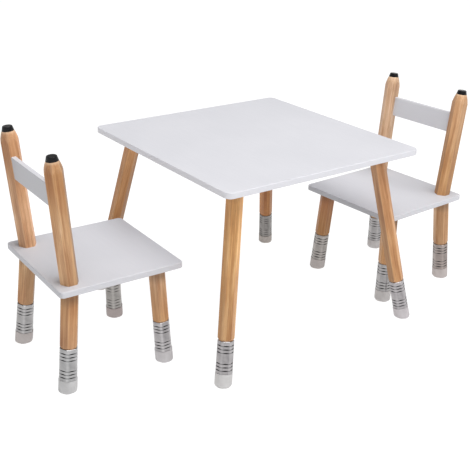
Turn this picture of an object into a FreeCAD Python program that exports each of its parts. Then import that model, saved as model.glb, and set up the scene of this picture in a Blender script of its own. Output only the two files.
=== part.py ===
import FreeCAD, Part
import math
import os

# Children's table with two chairs. Every leg and back post looks like a hexagonal
# pencil: the legs end in a ringed metal ferrule with an eraser as the foot, and the
# back posts are sharpened and end in a dark lead.
#
# Frame: +Z up, floor at z = 0, origin at the bottom centre of the whole set.
# +X runs from the left chair to the right chair. Millimetres.
# A chair is drawn about the middle of its seat, facing +Y, and then turned and moved.

V = FreeCAD.Vector
UP = V(0, 0, 1)

# ------------------------------------------------------------------ table
top_width = 600.0            # along X
top_depth = 600.0            # along Y
top_thickness = 15.0
top_corner_radius = 18.0
table_height = 480.0
table_leg_inset = 77.0       # leg axis at the panel, in from both edges
table_leg_splay = 80.0       # how much further out the foot stands, along X and along Y
table_leg_turn = 30.0        # of the hexagons about the legs: a flat faces along X

# ------------------------------------------------------------------ chair
seat_width = 320.0
seat_depth = 312.0
seat_thickness = 15.0
seat_corner_radius = 11.0
seat_height = 267.0
chair_height = 568.0
leg_side_inset = 40.0        # leg and post axes at the seat, in from the side edges
front_leg_inset = 52.0       # front leg axis, in from the front edge
rear_leg_inset = 39.0        # rear leg and post axes, in from the rear edge
leg_side_splay = 13.0        # foot further out than the top, sideways
front_leg_splay = 13.0       # front foot further forward
rear_leg_splay = 24.0        # rear foot further back
post_lean_back = 26.0        # post top further back than its base
post_lean_out = 4.0          # post top further out than its base
chair_turn = 90.0            # of the hexagons about legs and posts: a flat faces the rail

# Back rail between the posts
rail_height = 55.0
rail_thickness = 12.0
rail_top_height = 500.0      # above the floor, at the post axes
rail_setback = 4.0           # middle of the rail behind the post axes

# Where the chairs stand
left_stand_off = 12.0        # seat front edge to table edge
left_shift = 10.0            # along Y from the table's middle
left_turn = -2.0             # degrees away from square to the table
right_stand_off = -16.0      # negative: the seat's edge is under the table top
right_shift = -63.0
right_turn = 2.7

# ------------------------------------------------------------------ pencil stock
table_stock_flats = 36.0     # across the flats of the hexagon
chair_stock_flats = 38.5
stock_edge_radius = 4.0
panel_edge_radius = 2.0      # softened edges of the panels and rails

# Ferrule and eraser at the foot of each leg, sizes along the leg axis
foot_height = 31.0           # floor to ferrule, on the axis
foot_growth = 4.8            # eraser beyond the stock, across the flats
foot_corner_radius = 16.0    # nearly round
foot_sole_radius = 5.0
ferrule_length = 80.0
ferrule_top_growth = 0.6     # upper end of the sleeve beyond the stock, across the flats
ferrule_foot_growth = 1.8    # the sleeve widens a little towards the eraser
ferrule_corner_cut = 3.0     # flat across each corner, measured from the sharp corner
ferrule_wall = 2.6           # at the flats of the upper end
ferrule_rim = 0.8            # chamfer at both ends
groove_depth = 1.1           # pressed into each flat, deepest at its middle
groove_sweep = 25.0          # radius of the press tool: the groove runs out before the corners
groove_angle = 105.0         # degrees between the two walls of a groove
groove_pitch = 8.4
groove_count = 3             # in each of the two groups
lower_grooves_start = 9.0    # first groove above the ferrule's lower end
upper_grooves_start = 11.0   # first groove below the ferrule's upper end
plug_length = 20.0           # eraser's plug inside the ferrule
plug_end_gap = 2.0           # between the plug and the leg's spigot
shoulder_taper = 6.0         # length of the cone above the ferrule
shoulder_step = 1.2          # how far the cone starts inside the flats

# Sharpened top of each back post
sharpen_length = 26.0
sharpen_bulge = 0.9          # how far the taper swells beyond a straight cone
tip_height = 10.5
tip_base_radius = 14.3
tip_top_radius = 11.4
tip_edge_radius = 1.5
tip_spigot_radius = 5.0
tip_spigot_length = 12.0

# ------------------------------------------------------------------ hidden fastenings
fit_gap = 0.15               # radial clearance of studs, dowels, plugs and inserts
end_gap = 0.5                # spare depth at the end of a blind hole
stud_radius = 4.0
stud_depth = 34.0            # how far a stud goes into a leg or a post
insert_radius = 6.0
insert_depth = 11.0
insert_flange_radius = 9.0
insert_flange = 1.6
dowel_radius = 3.0
dowel_depth = 12.0           # in the post and in the rail
dowel_spacing = 28.0

# ------------------------------------------------------------------ derived
ferrule_top = foot_height + ferrule_length
spigot_end = foot_height + plug_length + plug_end_gap
panel_underside = table_height - top_thickness
seat_underside = seat_height - seat_thickness
post_axis_x = seat_width / 2 - leg_side_inset
post_axis_y = rear_leg_inset - seat_depth / 2
far = 4 * max(top_width, top_depth, seat_width, seat_depth, table_height, chair_height)


# ------------------------------------------------------------------ helpers
def rounded_reach(flats, corner_radius):
    """Distance from the middle of a hexagon to its rounded corners."""
    return flats / math.sqrt(3.0) - corner_radius * (2 / math.sqrt(3.0) - 1)


def polar(radius, degrees):
    angle = math.radians(degrees)
    return V(radius * math.cos(angle), radius * math.sin(angle), 0)


def axis_frame(low, high):
    """Placement at low whose Z axis runs towards high."""
    return FreeCAD.Placement(low, FreeCAD.Rotation(UP, high.sub(low)))


def placed(shape, placement):
    moved = shape.copy()
    moved.Placement = placement.multiply(moved.Placement)
    return moved


def rod(radius, low, length):
    return Part.makeCylinder(radius, length, low, UP)


def half_space(height, above):
    """Large block whose face lies level at the given height."""
    bottom = height if above else height - far
    return Part.makeBox(2 * far, 2 * far, far, V(-far, -far, bottom))


def revolved(edges):
    """Solid turned about Z from a closed outline in the XZ plane."""
    face = Part.Face(Part.Wire(edges))
    return face.revolve(V(0, 0, 0), UP, 360)


def line(start, end):
    return Part.makeLine(V(start[0], 0, start[1]), V(end[0], 0, end[1]))


def arc(start, middle, end):
    points = [V(p[0], 0, p[1]) for p in (start, middle, end)]
    return Part.Arc(*points).toShape()


def outline(points):
    """Closed straight outline through points given as (radius, height)."""
    return [line(a, b) for a, b in zip(points, points[1:] + points[:1])]


def rounded_hexagon(flats, corner_radius, turn):
    """Hexagon with arcs at its corners; one flat faces +Y when turn is 0."""
    reach = flats / math.sqrt(3.0)
    setback = corner_radius / math.sqrt(3.0)
    arc_middle = rounded_reach(flats, corner_radius)
    corners = []
    for k in range(6):
        corner = polar(reach, 60 * k + turn)
        before = corner + polar(setback, 60 * k + turn - 120)
        after = corner + polar(setback, 60 * k + turn + 120)
        corners.append((before, polar(arc_middle, 60 * k + turn), after))
    edges = []
    for k, (before, middle, after) in enumerate(corners):
        edges.append(Part.Arc(before, middle, after).toShape())
        edges.append(Part.makeLine(after, corners[(k + 1) % 6][0]))
    return Part.Wire(edges)


def cut_hexagon(flats, corner_cut, turn, height):
    """Hexagon with its corners cut flat, at the given height."""
    reach = flats / math.sqrt(3.0)
    points = []
    for k in range(6):
        corner = polar(reach, 60 * k + turn) + V(0, 0, height)
        points.append(corner + polar(corner_cut, 60 * k + turn - 120))
        points.append(corner + polar(corner_cut, 60 * k + turn + 120))
    return Part.makePolygon(points + points[:1])


def hexagon_bar(flats, corner_radius, turn, low, high):
    face = Part.Face(rounded_hexagon(flats, corner_radius, turn))
    face.translate(V(0, 0, low))
    return face.extrude(V(0, 0, high - low))


def panel(width, depth, thickness, corner_radius, underside):
    """Board with rounded corners and softened edges."""
    board = Part.makeBox(width, depth, thickness, V(-width / 2, -depth / 2, underside))
    upright = [e for e in board.Edges if abs(e.BoundBox.ZLength - thickness) < 1e-6]
    board = board.makeFillet(corner_radius, upright)
    around = [e for e in board.Edges if e.BoundBox.ZLength < 1e-6]
    return board.makeFillet(min(panel_edge_radius, 0.4 * thickness), around)


# ------------------------------------------------------------------ pencil leg
def bore_radius(stock):
    """Bore of the ferrule that fits this stock."""
    return (stock + ferrule_top_growth) / 2 - ferrule_wall


def leg_wood(stock, foot, top, turn, drill):
    """Hexagonal leg: level top end, cone and spigot at the ferrule."""
    length = foot.distanceToPoint(top)
    beyond = length + stock
    shoulder = stock / 2 - shoulder_step
    spigot_radius = bore_radius(stock) - fit_gap
    reach = rounded_reach(stock, stock_edge_radius)
    bar = hexagon_bar(stock, stock_edge_radius, turn, spigot_end, beyond)
    turned = revolved(outline([
        (0, spigot_end),
        (spigot_radius, spigot_end),
        (spigot_radius, ferrule_top),
        (shoulder, ferrule_top),
        (reach, ferrule_top + shoulder_taper),
        (reach, beyond),
        (0, beyond),
    ]))
    wood = placed(bar.common(turned), axis_frame(foot, top))
    wood = wood.cut(half_space(top.z, True))
    return wood.cut(drill)


def sleeve_flats(stock, height):
    """Size across the flats: the sleeve widens towards the eraser."""
    share = (ferrule_top - height) / ferrule_length
    return stock + ferrule_top_growth + share * (ferrule_foot_growth - ferrule_top_growth)


def pressed_grooves(stock, height, turn):
    """Six lens-shaped grooves, one in each flat of the sleeve, at the same height."""
    rise = groove_sweep * math.tan(math.radians(groove_angle / 2))
    tool = revolved(outline([(0, height + rise), (groove_sweep, height), (0, height - rise)]))
    tool = tool.common(rod(groove_sweep + 1, V(0, 0, height - groove_pitch / 2), groove_pitch))
    away = sleeve_flats(stock, height) / 2 - groove_depth + groove_sweep
    tools = []
    for k in range(6):
        cutter = tool.copy()
        cutter.translate(polar(away, 60 * k + turn + 30))
        tools.append(cutter)
    return tools


def ferrule_sleeve(stock, foot, top, turn):
    """Metal sleeve over the leg and the eraser, with two groups of pressed grooves."""
    sections = []
    levels = (
        (foot_height, ferrule_rim),
        (foot_height + ferrule_rim, 0),
        (ferrule_top - ferrule_rim, 0),
        (ferrule_top, ferrule_rim),
    )
    for height, chamfer in levels:
        flats = sleeve_flats(stock, height) - 2 * chamfer
        sections.append(cut_hexagon(flats, ferrule_corner_cut, turn, height))
    sleeve = Part.makeLoft(sections, True, True)
    sleeve = sleeve.cut(rod(bore_radius(stock), V(0, 0, foot_height - 1), ferrule_length + 2))
    for k in range(groove_count):
        lower = foot_height + lower_grooves_start + k * groove_pitch
        upper = ferrule_top - upper_grooves_start - k * groove_pitch
        sleeve = sleeve.cut(pressed_grooves(stock, lower, turn))
        sleeve = sleeve.cut(pressed_grooves(stock, upper, turn))
    return placed(sleeve, axis_frame(foot, top))


def eraser_foot(stock, foot, top, turn):
    """Eraser with a level sole, rounded all round, and a plug into the ferrule."""
    block = hexagon_bar(stock + foot_growth, foot_corner_radius, turn, -stock, foot_height)
    block = placed(block, axis_frame(foot, top)).cut(half_space(0, False))
    sole = [e for e in block.Edges if e.BoundBox.ZMax < 1e-3]
    block = block.makeFillet(min(foot_sole_radius, 0.9 * foot_corner_radius), sole)
    plug = rod(bore_radius(stock) - fit_gap, V(0, 0, foot_height - 1), plug_length + 1)
    return block.fuse(placed(plug, axis_frame(foot, top))).removeSplitter()


def leg_set(stock, foot, top, turn, drill):
    return {
        "leg": leg_wood(stock, foot, top, turn, drill),
        "ferrule": ferrule_sleeve(stock, foot, top, turn),
        "foot": eraser_foot(stock, foot, top, turn),
    }


# ------------------------------------------------------------------ fastenings
def hanger_stud(top):
    """Stud from the insert in the panel down into the leg, upright."""
    low = top.z - stud_depth
    high = top.z + insert_depth - end_gap
    point = stud_radius
    stud = revolved(outline([
        (0, low),
        (stud_radius, low + point),
        (stud_radius, high - 1),
        (stud_radius - 1, high),
        (0, high),
    ]))
    stud.translate(V(top.x, top.y, 0))
    return stud


def stud_hole(centre, low, high):
    return rod(stud_radius + fit_gap, V(centre.x, centre.y, low), high - low)


def panel_insert(top):
    """Flanged threaded insert, flush with the underside of the panel."""
    insert = rod(insert_flange_radius, V(top.x, top.y, top.z), insert_flange)
    insert = insert.fuse(rod(insert_radius, top, insert_depth))
    return insert.cut(stud_hole(top, top.z - 1, top.z + insert_depth + 1)).removeSplitter()


def insert_pocket(top):
    pocket = rod(insert_flange_radius + fit_gap, top - V(0, 0, 1), insert_flange + 1)
    return pocket.fuse(rod(insert_radius + fit_gap, top - V(0, 0, 1), insert_depth + end_gap + 1))


def hanger_drill(top):
    """Blind hole in the upper end of a leg."""
    return stud_hole(top, top.z - stud_depth - end_gap, top.z + 1)


# ------------------------------------------------------------------ table
def table_pieces():
    pieces = {}
    top_board = panel(top_width, top_depth, top_thickness, top_corner_radius, panel_underside)
    studs = []
    inserts = []
    reach_x = top_width / 2 - table_leg_inset
    reach_y = top_depth / 2 - table_leg_inset
    for side, side_name in ((-1, "left"), (1, "right")):
        for end, end_name in ((-1, "front"), (1, "back")):
            top = V(side * reach_x, end * reach_y, panel_underside)
            foot = V(side * (reach_x + table_leg_splay), end * (reach_y + table_leg_splay), 0)
            leg = leg_set(table_stock_flats, foot, top, table_leg_turn, hanger_drill(top))
            for name, shape in leg.items():
                pieces["table_%s_%s_%s" % (name, end_name, side_name)] = shape
            top_board = top_board.cut(insert_pocket(top))
            studs.append(hanger_stud(top))
            inserts.append(panel_insert(top))
    pieces["table_top"] = top_board
    pieces["table_leg_studs"] = Part.makeCompound(studs)
    pieces["table_leg_inserts"] = Part.makeCompound(inserts)
    return pieces


# ------------------------------------------------------------------ chair
def post_line(side):
    """Base and top of a back post's axis; side is -1 or 1."""
    base = V(side * post_axis_x, post_axis_y, seat_height)
    top = V(base.x + side * post_lean_out, base.y - post_lean_back, chair_height)
    return base, top


def back_post(side):
    """Hexagonal post, cut level at the seat and sharpened at the top."""
    base, top = post_line(side)
    length = base.distanceToPoint(top) - tip_height
    start = length - sharpen_length
    reach = rounded_reach(chair_stock_flats, stock_edge_radius)
    middle = ((reach + tip_base_radius) / 2 + sharpen_bulge, start + sharpen_length / 2)
    below = -chair_stock_flats
    sharpened = revolved([
        line((0, below), (reach, below)),
        line((reach, below), (reach, start)),
        arc((reach, start), middle, (tip_base_radius, length)),
        line((tip_base_radius, length), (0, length)),
        line((0, length), (0, below)),
    ])
    bar = hexagon_bar(chair_stock_flats, stock_edge_radius, chair_turn, below, length)
    socket = rod(tip_spigot_radius + fit_gap, V(0, 0, length - tip_spigot_length - end_gap), far)
    post = placed(bar.common(sharpened).cut(socket), axis_frame(base, top))
    post = post.cut(half_space(seat_height, False))
    post = post.cut(stud_hole(base, base.z - 1, base.z + stud_depth + end_gap))
    return post.cut(rail_dowel_drill())


def lead_tip(side):
    """Dark lead: tapered cap with a softened edge and a spigot into the post."""
    base, top = post_line(side)
    low = base.distanceToPoint(top) - tip_height
    high = low + tip_height
    slope = (tip_base_radius - tip_top_radius) / tip_height
    shoulder = tip_top_radius + slope * tip_edge_radius
    soft = tip_edge_radius * (1 - math.sqrt(0.5))
    tip = revolved([
        line((0, low - tip_spigot_length), (tip_spigot_radius, low - tip_spigot_length)),
        line((tip_spigot_radius, low - tip_spigot_length), (tip_spigot_radius, low)),
        line((tip_spigot_radius, low), (tip_base_radius, low)),
        line((tip_base_radius, low), (shoulder, high - tip_edge_radius)),
        arc((shoulder, high - tip_edge_radius), (shoulder - soft, high - soft),
            (shoulder - tip_edge_radius, high)),
        line((shoulder - tip_edge_radius, high), (0, high)),
        line((0, high), (0, low - tip_spigot_length)),
    ])
    return placed(tip, axis_frame(base, top))


def rail_frame():
    """Placement at the middle of the rail, leaning back with the posts."""
    base, top = post_line(1)
    share = (rail_top_height - rail_height / 2 - base.z) / (top.z - base.z)
    middle = base + (top - base) * share
    lean = math.degrees(math.atan2(post_lean_back, top.z - base.z))
    return FreeCAD.Placement(V(0, middle.y, middle.z), FreeCAD.Rotation(V(1, 0, 0), lean))


def rail_end():
    """Distance from the chair's middle to the flat of the post, at the rail's middle."""
    base, top = post_line(1)
    share = (rail_frame().Base.z - base.z) / (top.z - base.z)
    return base.x + (top.x - base.x) * share - chair_stock_flats / 2


def rail_dowels(extra_radius, extra_depth):
    """Dowels across both joints between the rail and the posts."""
    reach = dowel_depth + extra_depth
    dowels = []
    for side in (-1, 1):
        for row in (-1, 1):
            start = V(side * rail_end() - reach, -rail_setback, row * dowel_spacing / 2)
            dowels.append(Part.makeCylinder(dowel_radius + extra_radius, 2 * reach, start, V(1, 0, 0)))
    return placed(Part.makeCompound(dowels), rail_frame())


def rail_dowel_drill():
    return rail_dowels(fit_gap, end_gap)


def back_rail():
    """Board between the posts, its ends cut to the posts' flats."""
    length = 2 * (rail_end() + chair_stock_flats / 2)
    start = V(-length / 2, -rail_setback - rail_thickness / 2, -rail_height / 2)
    board = Part.makeBox(length, rail_thickness, rail_height, start)
    along = [e for e in board.Edges if abs(e.BoundBox.XLength - length) < 1e-6]
    board = board.makeFillet(min(panel_edge_radius, 0.4 * rail_thickness), along)
    board = placed(board, rail_frame())
    for side in (-1, 1):
        base, top = post_line(side)
        bar_length = base.distanceToPoint(top)
        post = hexagon_bar(chair_stock_flats, stock_edge_radius, chair_turn, 0, bar_length)
        board = board.cut(placed(post, axis_frame(base, top)))
    return board.cut(rail_dowel_drill())


def rear_stud(side):
    """Stud through the seat, into the rear leg below and the post above."""
    low = seat_underside - stud_depth
    length = 2 * stud_depth + seat_thickness
    stud = rod(stud_radius, V(side * post_axis_x, post_axis_y, low), length)
    ends = [e for e in stud.Edges if e.BoundBox.ZLength < 1e-6]
    return stud.makeChamfer(1, ends)


def chair_leg(foot, top):
    return leg_set(chair_stock_flats, foot, top, chair_turn, hanger_drill(top))


def chair_pieces():
    pieces = {}
    seat = panel(seat_width, seat_depth, seat_thickness, seat_corner_radius, seat_underside)
    front_studs = []
    inserts = []
    rear_studs = []
    for side, side_name in ((-1, "left"), (1, "right")):
        x = side * post_axis_x
        foot_x = x + side * leg_side_splay

        top = V(x, seat_depth / 2 - front_leg_inset, seat_underside)
        foot = V(foot_x, top.y + front_leg_splay, 0)
        for name, shape in chair_leg(foot, top).items():
            pieces["%s_front_%s" % (name, side_name)] = shape
        seat = seat.cut(insert_pocket(top))
        front_studs.append(hanger_stud(top))
        inserts.append(panel_insert(top))

        top = V(x, post_axis_y, seat_underside)
        foot = V(foot_x, top.y - rear_leg_splay, 0)
        for name, shape in chair_leg(foot, top).items():
            pieces["%s_rear_%s" % (name, side_name)] = shape
        seat = seat.cut(stud_hole(top, seat_underside - 1, seat_height + 1))
        rear_studs.append(rear_stud(side))

        pieces["back_post_%s" % side_name] = back_post(side)
        pieces["lead_tip_%s" % side_name] = lead_tip(side)
    pieces["seat"] = seat
    pieces["back_rail"] = back_rail()
    pieces["rail_dowels"] = rail_dowels(0, 0)
    pieces["rear_studs"] = Part.makeCompound(rear_studs)
    pieces["front_leg_studs"] = Part.makeCompound(front_studs)
    pieces["front_leg_inserts"] = Part.makeCompound(inserts)
    return pieces


def chair_place(side, stand_off, shift, turn):
    """Where a chair stands: side is -1 left of the table, 1 right of it."""
    x = side * (top_width / 2 + stand_off + seat_depth / 2)
    return FreeCAD.Placement(V(x, shift, 0), FreeCAD.Rotation(UP, side * 90 + turn))


# ------------------------------------------------------------------ the set
def build_set():
    pieces = table_pieces()
    chair = chair_pieces()
    places = (
        ("left_chair", chair_place(-1, left_stand_off, left_shift, left_turn)),
        ("right_chair", chair_place(1, right_stand_off, right_shift, right_turn)),
    )
    for chair_name, place in places:
        for name, shape in chair.items():
            pieces["%s_%s" % (chair_name, name)] = placed(shape, place)
    return pieces


def centred(pieces):
    """Move everything so that the origin is the bottom centre of the set."""
    box = FreeCAD.BoundBox()
    for shape in pieces.values():
        box.add(shape.optimalBoundingBox(False, False))
    shift = V(-box.Center.x, -box.Center.y, -box.ZMin)
    for shape in pieces.values():
        shape.translate(shift)
    return pieces


os.makedirs("parts", exist_ok=True)
for node, solid in centred(build_set()).items():
    solid.exportStep("parts/%s.step" % node)
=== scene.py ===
import math
import bpy
from mathutils import Matrix, Vector


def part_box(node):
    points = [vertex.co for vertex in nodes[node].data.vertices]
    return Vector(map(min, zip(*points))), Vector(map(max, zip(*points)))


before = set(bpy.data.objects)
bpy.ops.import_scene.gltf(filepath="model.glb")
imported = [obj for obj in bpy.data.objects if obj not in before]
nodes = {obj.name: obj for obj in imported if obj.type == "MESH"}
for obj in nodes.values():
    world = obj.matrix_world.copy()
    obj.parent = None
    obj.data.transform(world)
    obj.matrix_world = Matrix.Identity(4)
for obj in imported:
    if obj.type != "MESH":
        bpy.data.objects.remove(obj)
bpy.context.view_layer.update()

# Looks for a children's table with two chairs whose legs are pencils. Every CAD node keeps its
# shape and gets a procedural material. The floor is the only mesh added. Metres, row frame.

# ------------------------------------------------------------------ camera, light and floor
# Camera and key light are placed from the floor under the table's middle.
CAMERA_AT = Vector((-1.3346, -1.6921, 1.1408))
CAMERA_YAW = -37.18          # degrees, from +Y towards -X
CAMERA_PITCH = -23.54        # degrees, negative looks down
CAMERA_ROLL = 1.705          # degrees, positive lifts the camera's right side
FOCAL_SHARE = 1.839          # focal length over the image's width
SENSOR = 36.0                # mm

KEY_AT = Vector((0.1, -1.8, 5.5))
KEY_POWER = 408.0            # watts
KEY_SIZE = 6.0               # across the soft box
HAZE = 1.0                   # brightness of the backdrop at the horizon
ZENITH = 0.04                # and overhead
HAZE_TOP = 0.18              # height, as a sine, where the backdrop starts to dim
ZENITH_FROM = 0.40           # and where it is as dim as overhead

FLOOR_HALF = 30.0            # half the side of the floor
FLOOR_GLOW = 0.975           # the floor's own light, which hides most shadows on it
FLOOR_ALBEDO = 0.14
FLOOR_MOTTLE = 0.03          # share by which its albedo varies

# ------------------------------------------------------------------ features of the pieces
# The hexagons' corners, in degrees about the piece from the frame's +X.
CORNER_AT = {"table": 30.0, "left_chair": -2.0, "right_chair": 2.7}

TINT_TURNS = (0.3, 0.8)      # shares of a piece's length between which its tint changes
BARE_LENGTH = 0.026          # of the sharpened wood under a lead
BARE_FADE = 0.020            # over which it slowly turns pale
RIM_FADE = 0.004             # and over which it then quickly turns paler, next to the lead
SHADE_FROM = 0.040           # below a leg's top, where the leg's painted shade starts
SHADE_TO = 0.018             # and where it is darkest

GROOVE_REACH = 0.036         # from a ferrule's middle, past all of its grooves
GROOVE_GROUP_AT = 0.0216     # from the middle to the middle of each group of three grooves
GROOVE_SHIFT = 0.001         # by which both groups lie nearer the foot
GROOVE_PITCH = 0.0084
GROOVE_LEAN = (0.20, 0.45)   # the normal's part along a ferrule, off a groove and on its wall
CARRIED_HALF = 0.0008        # half the painted shade line that carries a groove on over a cut corner
CARRIED_END = 0.0018         # from the line's middle to where it is gone
RING_PITCH = 0.0028          # of the fine lines round the middle of a ferrule
RINGS_FULL = 0.008           # from the middle to where these lines start to fade
RINGS_END = 0.010            # and to where they are gone

PAINTED_SHADE_SIDE = (-0.9, -0.4)    # the normal's part along X, on a board's -X side and off it, for its painted shade
LEVEL = 2e-5                 # how far apart the heights of one level face may be

# ------------------------------------------------------------------ tints by piece
# Wood differs from piece to piece, and its tints also paint the light and shade on each piece:
# its tint at the foot, its tint at the head, and the share of painted light where it faces the
# painted light, with painted shade where it faces away.
# Direction from which light is painted onto the sides of the wood.
PAINTED_LIGHT_SIDE = Vector((0.803, -0.596, 0.0))
PLAIN_WOOD = ((1.03, 1.06, 1.11), (1.03, 1.06, 1.11), 0.0)
WOOD = {
    "table_leg_front_left": ((1.11, 1.12, 1.10), (1.56, 1.60, 1.45), 0.06),
    "table_leg_front_right": ((1.09, 1.11, 1.18), (0.99, 0.93, 0.97), 0.34),
    "table_leg_back_left": ((0.66, 0.57, 0.45), (1.10, 1.06, 1.05), -0.08),
    "table_leg_back_right": ((0.76, 0.58, 0.38), (0.77, 0.61, 0.39), 0.0),
    "left_chair_back_post_right": ((1.33, 1.53, 1.93), (0.95, 0.86, 0.76), -0.25),
    "left_chair_back_post_left": ((1.38, 1.52, 2.02), (1.03, 0.96, 1.03), 0.26),
    "left_chair_leg_rear_right": ((0.96, 0.98, 1.16), (1.15, 1.16, 1.22), 0.0),
    "left_chair_leg_rear_left": ((1.07, 1.09, 1.24), (1.23, 1.42, 1.71), -0.42),
    "left_chair_leg_front_right": ((1.11, 1.12, 1.15), (1.12, 1.24, 1.61), 0.28),
    "right_chair_back_post_left": ((1.03, 1.02, 1.00), (1.14, 1.19, 1.41), -0.11),
    "right_chair_back_post_right": ((1.36, 1.68, 2.50), (1.36, 1.69, 2.60), 0.04),
    "right_chair_leg_front_right": ((0.77, 0.69, 0.52), (0.71, 0.55, 0.48), 0.0),
    "right_chair_leg_rear_left": ((0.96, 0.97, 1.05), (1.10, 1.16, 1.33), -0.06),
}

# So do the ends of the legs: the tint of the ferrule, how dark the painted shade in its grooves
# is, and the tint of the eraser. Besides their own tone, these tints paint the light and shade
# on each end, such as the darker ends under the table.
PLAIN_END = ((1.08, 1.04, 1.02), 1.0, (0.94, 0.91, 0.90))
ENDS = {
    "table_leg_front_left": ((1.13, 1.08, 1.08), 1.0, (1.06, 1.06, 1.06)),
    "table_leg_front_right": ((1.15, 1.09, 1.10), 1.0, (0.95, 0.91, 0.94)),
    "table_leg_back_right": ((0.69, 0.65, 0.61), 0.3, (0.68, 0.62, 0.57)),
    "left_chair_leg_rear_right": ((1.17, 1.16, 1.15), 1.0, (0.96, 0.97, 0.98)),
    "left_chair_leg_rear_left": ((1.16, 1.13, 1.11), 1.0, (0.90, 0.84, 0.82)),
    "left_chair_leg_front_right": ((1.24, 1.19, 1.19), 1.0, (0.93, 0.91, 0.93)),
    "left_chair_leg_front_left": ((1.02, 0.97, 0.91), 0.4, (0.75, 0.66, 0.64)),
    "right_chair_leg_front_right": ((1.02, 0.94, 0.87), 1.0, (0.84, 0.78, 0.75)),
    "right_chair_leg_rear_left": ((0.96, 0.82, 0.75), 1.0, (0.89, 0.81, 0.79)),
}

# And the boards: the material's name, the tint of the paint, which also paints the light and
# shade on each board, and the share of that tint left on the side that faces -X, as painted shade.
BOARDS = {
    "table_top": ("panel_table", 0.98, 1.0),
    "left_chair_seat": ("panel_left_seat", 0.84, 0.84),
    "right_chair_seat": ("panel_right_seat", 0.88, 0.60),
    "left_chair_back_rail": ("panel_left_rail", 0.97, 0.70),
    "right_chair_back_rail": ("panel_right_rail", 0.93, 1.0),
}

# ------------------------------------------------------------------ colours
# Linear. Pairs are the darkest and the lightest; a grain has its colours by level.
PAINT = ((0.688, 0.688, 0.728), (0.726, 0.724, 0.762))
WOOD_GRAIN = (
    (0.38, (0.330, 0.140, 0.048)),
    (0.46, (0.430, 0.208, 0.080)),
    (0.54, (0.510, 0.270, 0.112)),
    (0.62, (0.600, 0.355, 0.172)),
)
WOOD_VEIN = (0.260, 0.110, 0.040)
# Painted highlight along the wood's corners.
WOOD_CORNER_HIGHLIGHT = (0.78, 0.56, 0.36)
WOOD_BARE = (0.80, 0.60, 0.42)
SILVER = ((0.27, 0.27, 0.275), (0.38, 0.38, 0.385))
# Painted highlight along the ferrules' corners.
SILVER_CORNER_HIGHLIGHT = (0.62, 0.62, 0.63)
SILVER_LINE = (0.10, 0.10, 0.105)
# Painted shade in the ferrules' grooves.
GROOVE_SHADE = (0.020, 0.019, 0.019)
RUBBER = ((0.500, 0.488, 0.485), (0.585, 0.575, 0.572))
LEAD = ((0.004, 0.004, 0.005), (0.012, 0.012, 0.013))
ZINC = ((0.50, 0.50, 0.47), (0.66, 0.66, 0.64))
BEECH_GRAIN = ((0.35, (0.52, 0.34, 0.19)), (0.65, (0.76, 0.58, 0.38)))

# Shares of one colour laid over another, where it shows most.
VEIN_SHARE = 0.34
# Painted highlight on the wood's corners.
CORNER_HIGHLIGHT_SHARE = 0.16
BARE_SHARE = 0.10
RIM_SHARE = 0.30
# Painted highlight on the ferrules' corners.
PAINTED_SHINE_SHARE = 0.18
CARRIED_SHARE = 0.65         # of the painted shade line that carries a groove on
RING_SHARE = 0.16

# Factors on the wood's colour.
FACET_TONES = (0.86, 1.09)   # of the darkest and the lightest flat
FIBRE_TONE = 0.82            # of the darkest fibres
SHADE_TONE = 0.62            # painted shade, close under a board

# Levels of a noise: most of its values, the middle of them for more contrast, the fibres from
# the darkest to plain wood, and a vein's middle and half its width.
MOST = (0.3, 0.7)
CONTRAST = (0.35, 0.65)
FIBRES = (0.36, 0.46)
VEIN_AT = 0.52
VEIN_HALF = 0.022

# A seed moves the grain of a piece. The sine of a flat's number and the seed, in these steps,
# stands for chance in the flat's tone.
LEG_SEED = 1
POST_SEED = 21
SEED_SHIFT = Vector((0.31, 0.17, 0.73))
FLAT_STEP = 2.3
SEED_STEP = 1.7


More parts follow.
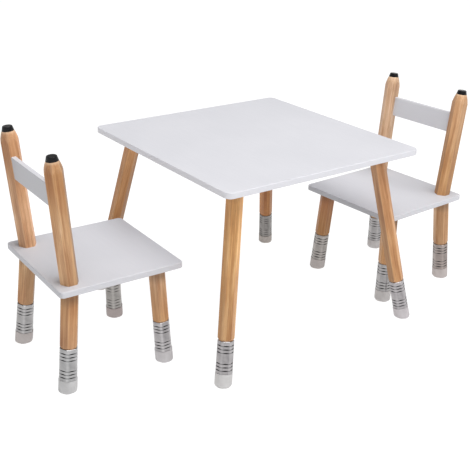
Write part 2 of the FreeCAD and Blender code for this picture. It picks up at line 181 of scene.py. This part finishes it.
# ------------------------------------------------------------------ node helpers
class Tree:
    """Short way to write a material's node tree."""

    def __init__(self, name):
        self.material = bpy.data.materials.new(name)
        self.material.use_nodes = True
        self.nodes = self.material.node_tree.nodes
        self.links = self.material.node_tree.links
        self.nodes.clear()
        self.shader = self.nodes.new("ShaderNodeBsdfPrincipled")
        output = self.nodes.new("ShaderNodeOutputMaterial")
        self.links.new(self.shader.outputs[0], output.inputs["Surface"])

    def set(self, socket, value):
        """Links a socket to another, or sets its value. None leaves it alone."""
        if isinstance(value, bpy.types.NodeSocket):
            self.links.new(value, socket)
        elif value is not None:
            socket.default_value = value

    def finish(self, **values):
        for name, value in values.items():
            self.set(self.shader.inputs[name.replace("_", " ")], value)
        return self.material

    def coordinates(self, kind="Object"):
        return self.nodes.new("ShaderNodeTexCoord").outputs[kind]

    def place(self, coordinates, low, axis):
        """Coordinates along a leaning piece: origin at low, Z along axis."""
        lean = Vector((0, 0, 1)).rotation_difference(axis)
        local = lean.inverted().to_matrix().to_4x4() @ Matrix.Translation(-low)
        node = self.nodes.new("ShaderNodeMapping")
        self.set(node.inputs["Vector"], coordinates)
        node.inputs["Rotation"].default_value = local.to_euler()
        node.inputs["Location"].default_value = local.to_translation()
        return node.outputs[0]

    def stretch(self, coordinates, scale):
        node = self.nodes.new("ShaderNodeMapping")
        self.set(node.inputs["Vector"], coordinates)
        node.inputs["Scale"].default_value = scale
        return node.outputs[0]

    def split(self, vector):
        node = self.nodes.new("ShaderNodeSeparateXYZ")
        self.set(node.inputs[0], vector)
        return node.outputs

    def noise(self, coordinates, scale, detail, roughness=0.5, distortion=0.0):
        node = self.nodes.new("ShaderNodeTexNoise")
        self.set(node.inputs["Vector"], coordinates)
        node.inputs["Scale"].default_value = scale
        node.inputs["Detail"].default_value = detail
        node.inputs["Roughness"].default_value = roughness
        node.inputs["Distortion"].default_value = distortion
        return node.outputs["Fac"]

    def math(self, operation, a, b=None, c=None):
        node = self.nodes.new("ShaderNodeMath")
        node.operation = operation
        for socket, value in zip(node.inputs, (a, b, c)):
            self.set(socket, value)
        return node.outputs[0]

    def shifted(self, vector, by):
        node = self.nodes.new("ShaderNodeVectorMath")
        node.operation = "ADD"
        self.set(node.inputs[0], vector)
        self.set(node.inputs[1], by)
        return node.outputs["Vector"]

    def along(self, vector, direction):
        """Length of a vector in a direction."""
        node = self.nodes.new("ShaderNodeVectorMath")
        node.operation = "DOT_PRODUCT"
        self.set(node.inputs[0], vector)
        self.set(node.inputs[1], direction)
        return node.outputs["Value"]

    def spread(self, value, limits, to_low=0.0, to_high=1.0):
        """to_low up to the lower limit, to_high from the higher one, and even in between."""
        node = self.nodes.new("ShaderNodeMapRange")
        node.inputs["From Min"].default_value, node.inputs["From Max"].default_value = limits
        node.inputs["To Min"].default_value = to_low
        node.inputs["To Max"].default_value = to_high
        self.set(node.inputs["Value"], value)
        return node.outputs[0]

    def ramp(self, value, stops):
        node = self.nodes.new("ShaderNodeValToRGB")
        elements = node.color_ramp.elements
        while len(elements) < len(stops):
            elements.new(0.5)
        for element, (position, colour) in zip(elements, stops):
            element.position = position
            element.color = (*colour, 1.0)
        self.set(node.inputs[0], value)
        return node.outputs[0]

    def mix(self, factor, a, b, blend="MIX"):
        node = self.nodes.new("ShaderNodeMix")
        node.data_type = "RGBA"
        node.blend_type = blend
        self.set(node.inputs[0], factor)
        for socket, value in ((node.inputs[6], a), (node.inputs[7], b)):
            self.set(socket, (*value, 1.0) if isinstance(value, tuple) else value)
        return node.outputs[2]

    def times(self, colour, factor):
        return self.mix(1.0, colour, factor, "MULTIPLY")

    def bump(self, height, strength, distance):
        node = self.nodes.new("ShaderNodeBump")
        node.inputs["Strength"].default_value = strength
        node.inputs["Distance"].default_value = distance
        self.set(node.inputs["Height"], height)
        return node.outputs[0]

    def facing(self, axis, corner_at):
        """Angle of the surface's normal about the piece, in sixths of a turn from a corner."""
        normal = self.split(self.place(self.coordinates("Normal"), Vector((0, 0, 0)), axis))
        angle = self.math("ARCTAN2", normal[1], normal[0])
        return self.math("MULTIPLY_ADD", angle, 3.0 / math.pi, -corner_at / 60.0)

    def edges(self, facing, sharp):
        """1 along the hexagon's corners and 0 on its flats."""
        wave = self.math("COSINE", self.math("MULTIPLY", facing, 2 * math.pi))
        return self.spread(wave, (sharp, 1.0))


def tinted(colour, tint):
    return tuple(c * t for c, t in zip(colour, tint))


# ------------------------------------------------------------------ materials
def panel_paint(name, tint, painted_side_shade):
    """Satin white paint over fibreboard: faint roller texture, a little mottling, and for some
    boards painted shade on the side that faces -X.
    """
    t = Tree(name)
    where = t.coordinates()
    cloud = t.noise(where, scale=5.0, detail=3.0)
    peel = t.noise(where, scale=900.0, detail=3.0, roughness=0.6)
    drawn_out = t.stretch(where, (1.0, 0.06, 1.0))
    roller = t.noise(drawn_out, scale=160.0, detail=3.0, roughness=0.6)
    tone = t.math("ADD", t.math("MULTIPLY", cloud, 0.7), t.math("MULTIPLY", roller, 0.3))
    dark, light = (tinted(colour, (tint, tint, tint)) for colour in PAINT)
    colour = t.mix(t.spread(tone, CONTRAST), dark, light)
    # Painted shade: the board is darker on its side that faces -X.
    if painted_side_shade != 1.0:
        turned = t.split(t.coordinates("Normal"))[0]
        colour = t.times(colour, t.spread(turned, PAINTED_SHADE_SIDE, painted_side_shade, 1.0))
    relief = t.math("ADD", peel, t.math("MULTIPLY", roller, 0.6))
    return t.finish(
        Base_Color=colour,
        Roughness=t.spread(cloud, MOST, 0.42, 0.52),
        Normal=t.bump(relief, strength=0.10, distance=0.0002),
        Specular_IOR_Level=0.45,
    )


def pencil_wood(name, low, axis, corner_at, seed, sharpened):
    """Clear-lacquered wood with soft streaks along the piece, a painted highlight along its
    corners and painted light and shade on its sides. A post is paler where it is sharpened, and a
    leg has painted shade under its board."""
    t = Tree("wood_" + name)
    where = t.place(t.coordinates(), low, axis)
    moved = t.shifted(where, SEED_SHIFT * seed)
    wide = t.noise(t.stretch(moved, (1.0, 1.0, 0.09)), scale=62.0, detail=2.0, distortion=0.5)
    streaks = t.stretch(moved, (1.0, 1.0, 0.02))
    fine = t.noise(streaks, scale=340.0, detail=3.0, roughness=0.55)
    fibre = t.noise(streaks, scale=1500.0, detail=3.0, roughness=0.6)
    veins = t.stretch(moved, (1.0, 1.0, 0.03))
    vein = t.noise(veins, scale=190.0, detail=4.0, roughness=0.6, distortion=0.3)
    cloud = t.noise(t.stretch(moved, (1.0, 1.0, 0.5)), scale=24.0, detail=2.0)
    grain = t.math("MULTIPLY_ADD", wide, 0.50, t.math("MULTIPLY", cloud, 0.18))
    grain = t.math("MULTIPLY_ADD", fine, 0.32, grain)
    colour = t.ramp(grain, WOOD_GRAIN)

    foot_tint, head_tint, painted_side_light = WOOD.get(name, PLAIN_WOOD)
    height = t.split(where)[2]
    reach = [(v.co - low).dot(axis) for v in nodes[name].data.vertices]
    foot, head = min(reach), max(reach)
    rise = t.spread(height, [foot + share * (head - foot) for share in TINT_TURNS])
    # The foot and head tints: the wood's own tone, and painted light and shade along the piece.
    colour = t.times(colour, t.mix(rise, foot_tint, head_tint))
    # Painted light on the side that faces the painted light, and painted shade on the side away
    # from it.
    right = t.along(t.coordinates("Normal"), PAINTED_LIGHT_SIDE)
    colour = t.times(colour, t.math("MULTIPLY_ADD", right, painted_side_light, 1.0))

    facing = t.facing(axis, corner_at)
    turn = t.math("MULTIPLY_ADD", t.math("FLOOR", facing), FLAT_STEP, SEED_STEP * seed)
    colour = t.times(colour, t.spread(t.math("SINE", turn), (-1.0, 1.0), *FACET_TONES))
    colour = t.times(colour, t.spread(fibre, FIBRES, FIBRE_TONE, 1.0))
    off_vein = t.math("ABSOLUTE", t.math("SUBTRACT", vein, VEIN_AT))
    colour = t.mix(t.spread(off_vein, (0.0, VEIN_HALF), VEIN_SHARE, 0.0), colour, WOOD_VEIN)
    # Painted highlight: the wood turns lighter along the hexagon's corners.
    corner = t.math("MULTIPLY", t.edges(facing, sharp=-0.2), CORNER_HIGHLIGHT_SHARE)
    colour = t.mix(corner, colour, WOOD_CORNER_HIGHLIGHT)

    if sharpened:
        bare_from = head - BARE_LENGTH
        rim_from = bare_from + BARE_FADE
        bare = t.spread(height, (bare_from, rim_from))
        rim = t.spread(height, (rim_from, rim_from + RIM_FADE), 0.0, RIM_SHARE)
        pale = t.math("MULTIPLY_ADD", bare, BARE_SHARE, rim)
        colour = t.mix(pale, colour, WOOD_BARE)
    else:
        # Painted shade: a leg darkens towards the board above it.
        top = max(v.co.z for v in nodes[name].data.vertices)
        up = t.split(t.coordinates())[2]
        shade = t.spread(up, (top - SHADE_FROM, top - SHADE_TO), 1.0, SHADE_TONE)
        colour = t.times(colour, shade)
    relief = t.math("MULTIPLY_ADD", fine, 1.5, fibre)
    return t.finish(
        Base_Color=colour,
        Roughness=t.spread(fine, MOST, 0.42, 0.56),
        Normal=t.bump(relief, strength=0.18, distance=0.0003),
        Specular_IOR_Level=0.38,
        Coat_Weight=0.12,
        Coat_Roughness=0.20,
    )


def ferrule_metal(name, low, axis, corner_at, tint, groove_shade_tone):
    """Satin silver, with painted shade in the pressed grooves and a painted highlight along the
    corners.
    """
    t = Tree("metal_" + name)
    where = t.place(t.coordinates(), low, axis)
    height = t.split(where)[2]
    off_middle = t.math("ABSOLUTE", height)
    blotch = t.noise(where, scale=60.0, detail=2.0)
    rubbed = t.noise(t.stretch(where, (0.15, 0.15, 1.0)), scale=1000.0, detail=3.0)

    # The surface leans along the axis only in the grooves and at the ends, past their reach.
    lean = t.math("ABSOLUTE", t.along(t.coordinates("Normal"), axis))
    reached = t.math("LESS_THAN", off_middle, GROOVE_REACH)
    groove = t.math("MULTIPLY", t.spread(lean, GROOVE_LEAN), reached)

    # Faint lines of painted groove shade carry the grooves on over the cut corners. Six pitches
    # are
    #     added so that the number stays positive, and a group reaches one and a half from its
    #     middle.
    centred = t.math("ADD", height, GROOVE_SHIFT)
    off_group = t.math("SUBTRACT", t.math("ABSOLUTE", centred), GROOVE_GROUP_AT)
    positive = t.math("ADD", off_group, 6.0 * GROOVE_PITCH)
    off_groove = t.math("PINGPONG", positive, GROOVE_PITCH / 2)
    line = t.spread(off_groove, (CARRIED_HALF, CARRIED_END), CARRIED_SHARE * groove_shade_tone, 0.0)
    in_group = t.math("LESS_THAN", t.math("ABSOLUTE", off_group), 1.5 * GROOVE_PITCH)
    carried = t.math("MULTIPLY", line, in_group)

    wave = t.math("SINE", t.math("MULTIPLY", height, 2 * math.pi / RING_PITCH))
    band = t.spread(off_middle, (RINGS_FULL, RINGS_END), 1.0, 0.0)
    rings = t.math("MULTIPLY", t.spread(wave, (-1.0, 1.0), 0.0, RING_SHARE), band)

    dark, light = (tinted(colour, tint) for colour in SILVER)
    silver = t.mix(t.spread(blotch, MOST), dark, light)
    # Painted highlight: the silver turns lighter along the hexagon's corners.
    painted_shine = t.math("MULTIPLY", t.edges(t.facing(axis, corner_at), sharp=0.60), PAINTED_SHINE_SHARE)
    silver = t.mix(painted_shine, silver, tinted(SILVER_CORNER_HIGHLIGHT, tint))
    # The fine rings are lines of the silver itself; the carried lines are painted groove shade.
    silver = t.mix(t.math("MAXIMUM", rings, carried), silver, SILVER_LINE)
    # Painted shade: the silver turns near black on the walls of the grooves.
    return t.finish(
        Base_Color=t.mix(t.math("MULTIPLY", groove, groove_shade_tone), silver, GROOVE_SHADE),
        Metallic=0.9,
        Roughness=t.spread(t.math("ADD", rubbed, groove), (0.3, 1.5), 0.28, 0.55),
        Normal=t.bump(t.math("MULTIPLY_ADD", rings, -2.0, rubbed), strength=0.08, distance=0.0001),
    )


def eraser_rubber(name, tint):
    """Matt off-white rubber with a dusty surface."""
    t = Tree("rubber_" + name)
    where = t.coordinates()
    dust = t.noise(where, scale=45.0, detail=4.0)
    speck = t.noise(where, scale=1200.0, detail=2.0)
    dark, light = (tinted(colour, tint) for colour in RUBBER)
    return t.finish(
        Base_Color=t.mix(t.spread(dust, CONTRAST), dark, light),
        Roughness=t.spread(dust, MOST, 0.62, 0.78),
        Normal=t.bump(speck, strength=0.12, distance=0.0002),
    )


def black_lead():
    """Glossy black lacquer, a little uneven."""
    t = Tree("lead_black")
    wave = t.noise(t.coordinates(), scale=120.0, detail=3.0)
    return t.finish(
        Base_Color=t.mix(wave, *LEAD),
        Roughness=t.spread(wave, MOST, 0.22, 0.38),
        Normal=t.bump(wave, strength=0.10, distance=0.0006),
        Specular_IOR_Level=0.20,
    )


def zinc_steel():
    """Zinc-plated fastenings."""
    t = Tree("steel")
    bloom = t.noise(t.coordinates(), scale=240.0, detail=4.0)
    return t.finish(
        Base_Color=t.mix(bloom, *ZINC),
        Metallic=1.0,
        Roughness=t.spread(bloom, MOST, 0.30, 0.45),
        Normal=t.bump(bloom, strength=0.05, distance=0.0002),
    )


def bare_beech():
    """Plain beech dowels with short flecks."""
    t = Tree("dowel")
    fleck = t.noise(t.stretch(t.coordinates(), (0.1, 1.0, 1.0)), scale=700.0, detail=4.0)
    return t.finish(
        Base_Color=t.ramp(fleck, BEECH_GRAIN),
        Roughness=0.6,
        Normal=t.bump(fleck, strength=0.2, distance=0.0002),
    )


def floor_paper():
    """Pale studio floor, evenly lit."""
    t = Tree("floor")
    tooth = t.noise(t.coordinates(), scale=300.0, detail=2.0)
    low, high = (1.0 - FLOOR_MOTTLE) * FLOOR_ALBEDO, (1.0 + FLOOR_MOTTLE) * FLOOR_ALBEDO
    return t.finish(
        Base_Color=t.mix(tooth, (low, low, low), (high, high, high)),
        Roughness=1.0,
        Specular_IOR_Level=0.0,
        Emission_Color=(1, 1, 1, 1),
        Emission_Strength=FLOOR_GLOW,
    )


# ------------------------------------------------------------------ where the pieces are
def end_centre(node, highest):
    """Middle of a node's level end face."""
    points = [v.co for v in nodes[node].data.vertices]
    heights = [p.z for p in points]
    level = max(heights) if highest else min(heights)
    ring = [p for p in points if abs(p.z - level) < LEVEL]
    low = Vector([min(p[k] for p in ring) for k in range(3)])
    high = Vector([max(p[k] for p in ring) for k in range(3)])
    return (low + high) / 2


def middle(node):
    low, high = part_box(node)
    return (low + high) / 2


def under_table():
    spot = middle("table_top")
    spot.z = 0
    return spot


# ------------------------------------------------------------------ dressing
def dress(node, material):
    piece = nodes[node]
    piece.data.materials.clear()
    piece.data.materials.append(material)


def dress_by_word():
    """Boards, leads and the hidden fastenings, by a word in the node's name."""
    by_word = {word: panel_paint(*look) for word, look in BOARDS.items()}
    by_word["lead_tip"] = black_lead()
    by_word["studs"] = by_word["inserts"] = zinc_steel()
    by_word["dowels"] = bare_beech()
    for name in nodes:
        for word, material in by_word.items():
            if word in name:
                dress(name, material)


def dress_legs():
    """Legs with their ferrules and erasers."""
    fastenings = ("studs", "inserts")
    legs = [name for name in sorted(nodes) if "_leg_" in name and not name.endswith(fastenings)]
    for seed, name in enumerate(legs, LEG_SEED):
        corner_at = CORNER_AT[name.split("_leg_")[0]]
        ferrule = name.replace("_leg_", "_ferrule_")
        foot = name.replace("_leg_", "_foot_")
        low = middle(ferrule)
        axis = (end_centre(name, highest=True) - low).normalized()
        # Tints that also paint the light and shade on each end.
        metal_tint, groove_shade_tone, rubber_tint = ENDS.get(name, PLAIN_END)
        dress(name, pencil_wood(name, low, axis, corner_at, seed, sharpened=False))
        dress(ferrule, ferrule_metal(ferrule, low, axis, corner_at, metal_tint, groove_shade_tone))
        dress(foot, eraser_rubber(foot, rubber_tint))


def dress_posts():
    posts = [name for name in sorted(nodes) if "_back_post_" in name]
    for seed, name in enumerate(posts, POST_SEED):
        corner_at = CORNER_AT[name.split("_back_")[0]]
        low = end_centre(name, highest=False)
        axis = (middle(name.replace("back_post", "lead_tip")) - low).normalized()
        dress(name, pencil_wood(name, low, axis, corner_at, seed, sharpened=True))


# ------------------------------------------------------------------ stage
def add_floor():
    mesh = bpy.data.meshes.new("floor")
    h = FLOOR_HALF
    mesh.from_pydata([(-h, -h, 0), (h, -h, 0), (h, h, 0), (-h, h, 0)], [], [(0, 1, 2, 3)])
    mesh.materials.append(floor_paper())
    floor = bpy.data.objects.new("floor", mesh)
    bpy.context.scene.collection.objects.link(floor)


def add_soft_box():
    data = bpy.data.lights.new("key", "AREA")
    data.shape = "DISK"
    data.size = KEY_SIZE
    data.energy = KEY_POWER
    box = bpy.data.objects.new("key", data)
    box.rotation_euler = KEY_AT.to_track_quat("Z", "Y").to_euler()
    box.location = under_table() + KEY_AT
    bpy.context.scene.collection.objects.link(box)


def add_backdrop():
    """White at the horizon, fading to a dim ceiling."""
    world = bpy.data.worlds.new("studio")
    world.use_nodes = True
    world_nodes, links = world.node_tree.nodes, world.node_tree.links
    place = world_nodes.new("ShaderNodeTexCoord")
    split = world_nodes.new("ShaderNodeSeparateXYZ")
    fade = world_nodes.new("ShaderNodeMapRange")
    fade.interpolation_type = "SMOOTHSTEP"
    limits = {
        "From Min": HAZE_TOP, "From Max": ZENITH_FROM, "To Min": HAZE, "To Max": ZENITH,
    }
    for name, number in limits.items():
        fade.inputs[name].default_value = number
    background = world_nodes["Background"]
    background.inputs["Color"].default_value = (1.0, 1.0, 1.0, 1.0)
    links.new(place.outputs["Generated"], split.inputs[0])
    links.new(split.outputs["Z"], fade.inputs["Value"])
    links.new(fade.outputs[0], background.inputs["Strength"])
    bpy.context.scene.world = world


def add_camera():
    yaw, pitch, roll = (math.radians(a) for a in (CAMERA_YAW, CAMERA_PITCH, CAMERA_ROLL))
    ahead = Vector((
        -math.sin(yaw) * math.cos(pitch),
        math.cos(yaw) * math.cos(pitch),
        math.sin(pitch),
    ))
    right = ahead.cross(Vector((0, 0, 1))).normalized()
    up = right.cross(ahead)
    rolled_right = right * math.cos(roll) + up * math.sin(roll)
    rolled_up = up * math.cos(roll) - right * math.sin(roll)
    turned = Matrix((rolled_right, rolled_up, -ahead)).transposed().to_4x4()
    data = bpy.data.cameras.new("camera")
    data.sensor_width = SENSOR
    data.lens = FOCAL_SHARE * SENSOR
    camera = bpy.data.objects.new("camera", data)
    camera.matrix_world = Matrix.Translation(under_table() + CAMERA_AT) @ turned
    bpy.context.scene.collection.objects.link(camera)
    bpy.context.scene.camera = camera


dress_by_word()
dress_legs()
dress_posts()
add_floor()
add_soft_box()
add_backdrop()
bpy.context.scene.view_settings.view_transform = "Standard"
add_camera()
